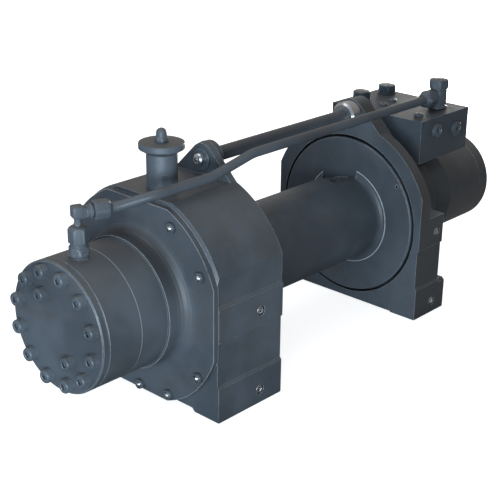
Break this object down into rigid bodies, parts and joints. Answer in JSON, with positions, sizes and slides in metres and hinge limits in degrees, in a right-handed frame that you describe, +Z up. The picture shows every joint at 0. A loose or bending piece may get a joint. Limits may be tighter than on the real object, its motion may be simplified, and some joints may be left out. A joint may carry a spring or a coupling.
{
  "type": "wire rope drum",
  "caption": "Bare wire rope drum between footed end housings, with a planetary gearbox, spring brake, hydraulic motor, valve block and tie bar.",
  "frame": {"origin": "centre of the four base bolt holes, in the plane of the feet", "axes": "+X along the drum's axis from the brake end to the motor end, +Z up, -Y towards the side with the brake line"},
  "size_m": [0.863, 0.27, 0.3491],
  "materials": {
    "housing_paint": "low sheen machine enamel",
    "cover_paint": "low sheen machine enamel",
    "case_paint": "machined rings under satin enamel",
    "drum_paint": "low sheen enamel on cast metal",
    "motor_paint": "satin enamel",
    "block_paint": "satin enamel",
    "screw_paint": "satin enamel, worn at the edges",
    "line_paint": "satin enamel",
    "clutch_paint": "low sheen machine enamel",
    "bare_steel": "bare turned steel",
    "gear_steel": "ground and oiled steel",
    "spring_steel": "blued spring steel",
    "bronze": "plain bearing bronze",
    "seal_rubber": "matte nitrile",
    "friction_lining": "sintered lining, matte"
  },
  "bodies": {
    "frame": {"gear_housing": "housing_paint", "end_cover": "cover_paint", "cover_screws": "screw_paint", "stage_case": "case_paint", "brake_case": "case_paint", "brake_cap": "case_paint", "cap_screws": "screw_paint", "cap_lifting_screws": "screw_paint", "final_ring_gear": "gear_steel", "drum_bushes": "bronze", "drum_seals": "seal_rubber", "sun_bush": "bronze", "shaft_bearing": "gear_steel", "motor_bracket": "housing_paint", "tie_bar": "line_paint", "tie_bar_collar": "bare_steel", "tie_bar_bolts": "bare_steel", "brake_port_adapter": "line_paint", "brake_elbow": "line_paint", "tube_nuts": "line_paint", "brake_tube": "line_paint", "valve_block": "block_paint", "block_screws": "screw_paint", "block_hex_plugs": "screw_paint", "port_plugs": "bare_steel", "block_elbow": "line_paint", "motor_case": "motor_paint", "motor_end_cover": "motor_paint", "motor_bolts": "screw_paint", "side_hole_plugs": "bare_steel", "clutch_guide": "clutch_paint", "clutch_spring": "spring_steel", "brake_steel_discs": "gear_steel", "brake_disc_springs": "spring_steel"},
    "drum": {"drum_barrel": "drum_paint", "drum_flange_left": "drum_paint", "drum_flange_right": "drum_paint", "final_carrier": "gear_steel", "final_planet_pins": "gear_steel", "rope_clamp_screws": "bare_steel"},
    "first_carrier": {"first_carrier": "gear_steel", "first_planet_pins": "gear_steel", "final_sun": "gear_steel"},
    "final_planet_1": {"final_planet_1": "gear_steel"},
    "final_planet_2": {"final_planet_2": "gear_steel"},
    "final_planet_3": {"final_planet_3": "gear_steel"},
    "first_planet_1": {"first_planet_1": "gear_steel"},
    "first_planet_2": {"first_planet_2": "gear_steel"},
    "first_planet_3": {"first_planet_3": "gear_steel"},
    "input": {"input_shaft": "gear_steel", "first_sun": "gear_steel", "brake_hub": "gear_steel", "brake_friction_discs": "friction_lining", "shaft_coupling": "gear_steel", "motor_shaft": "gear_steel"},
    "motor_idler": {"motor_idler_gear": "gear_steel"},
    "clutch": {"clutch_plunger": "gear_steel", "clutch_knob": "clutch_paint", "clutch_cap_nut": "clutch_paint"},
    "brake_piston": {"brake_piston": "gear_steel"}
  },
  "joints": [
    {"name": "drum_spin", "type": "hinge", "parent": "frame", "child": "drum", "pos_m": [0, 0, 0.136], "axis": [1, 0, 0], "continuous": true},
    {"name": "first_carrier_spin", "type": "hinge", "parent": "frame", "child": "first_carrier", "pos_m": [-0.327, 0, 0.136], "axis": [1, 0, 0], "continuous": true},
    {"name": "input_spin", "type": "hinge", "parent": "frame", "child": "input", "pos_m": [0, 0, 0.136], "axis": [1, 0, 0], "continuous": true},
    {"name": "final_planet_1_spin", "type": "hinge", "parent": "drum", "child": "final_planet_1", "pos_m": [-0.233, -0.06, 0.136], "axis": [1, 0, 0], "continuous": true},
    {"name": "final_planet_2_spin", "type": "hinge", "parent": "drum", "child": "final_planet_2", "pos_m": [-0.233, 0.03, 0.18796], "axis": [1, 0, 0], "continuous": true},
    {"name": "final_planet_3_spin", "type": "hinge", "parent": "drum", "child": "final_planet_3", "pos_m": [-0.233, 0.03, 0.08404], "axis": [1, 0, 0], "continuous": true},
    {"name": "first_planet_1_spin", "type": "hinge", "parent": "first_carrier", "child": "first_planet_1", "pos_m": [-0.3273, -0.03375, 0.136], "axis": [1, 0, 0], "continuous": true},
    {"name": "first_planet_2_spin", "type": "hinge", "parent": "first_carrier", "child": "first_planet_2", "pos_m": [-0.3273, 0.01688, 0.16523], "axis": [1, 0, 0], "continuous": true},
    {"name": "first_planet_3_spin", "type": "hinge", "parent": "first_carrier", "child": "first_planet_3", "pos_m": [-0.3273, 0.01688, 0.10677], "axis": [1, 0, 0], "continuous": true},
    {"name": "motor_idler_spin", "type": "hinge", "parent": "frame", "child": "motor_idler", "pos_m": [0.378, 0, 0.096], "axis": [1, 0, 0], "continuous": true},
    {"name": "clutch_lift", "type": "slide", "parent": "frame", "child": "clutch", "axis": [0, 0, 1], "range_m": [0, 0.014], "stiffness_N_per_m": 2000, "springref_m": -0.005, "deforming": ["clutch_spring"]},
    {"name": "brake_release", "type": "slide", "parent": "frame", "child": "brake_piston", "axis": [-1, 0, 0], "range_m": [0, 0.0015], "stiffness_N_per_m": 20000, "deforming": ["brake_disc_springs"]}
  ],
  "couplings": [
    {"joint": "first_carrier_spin", "follows": "drum_spin", "ratio": 5},
    {"joint": "input_spin", "follows": "drum_spin", "ratio": 25},
    {"joint": "final_planet_1_spin", "follows": "drum_spin", "ratio": -2.6667},
    {"joint": "final_planet_2_spin", "follows": "drum_spin", "ratio": -2.6667},
    {"joint": "final_planet_3_spin", "follows": "drum_spin", "ratio": -2.6667},
    {"joint": "first_planet_1_spin", "follows": "drum_spin", "ratio": -13.333},
    {"joint": "first_planet_2_spin", "follows": "drum_spin", "ratio": -13.333},
    {"joint": "first_planet_3_spin", "follows": "drum_spin", "ratio": -13.333},
    {"joint": "motor_idler_spin", "follows": "drum_spin", "ratio": -25}
  ]
}
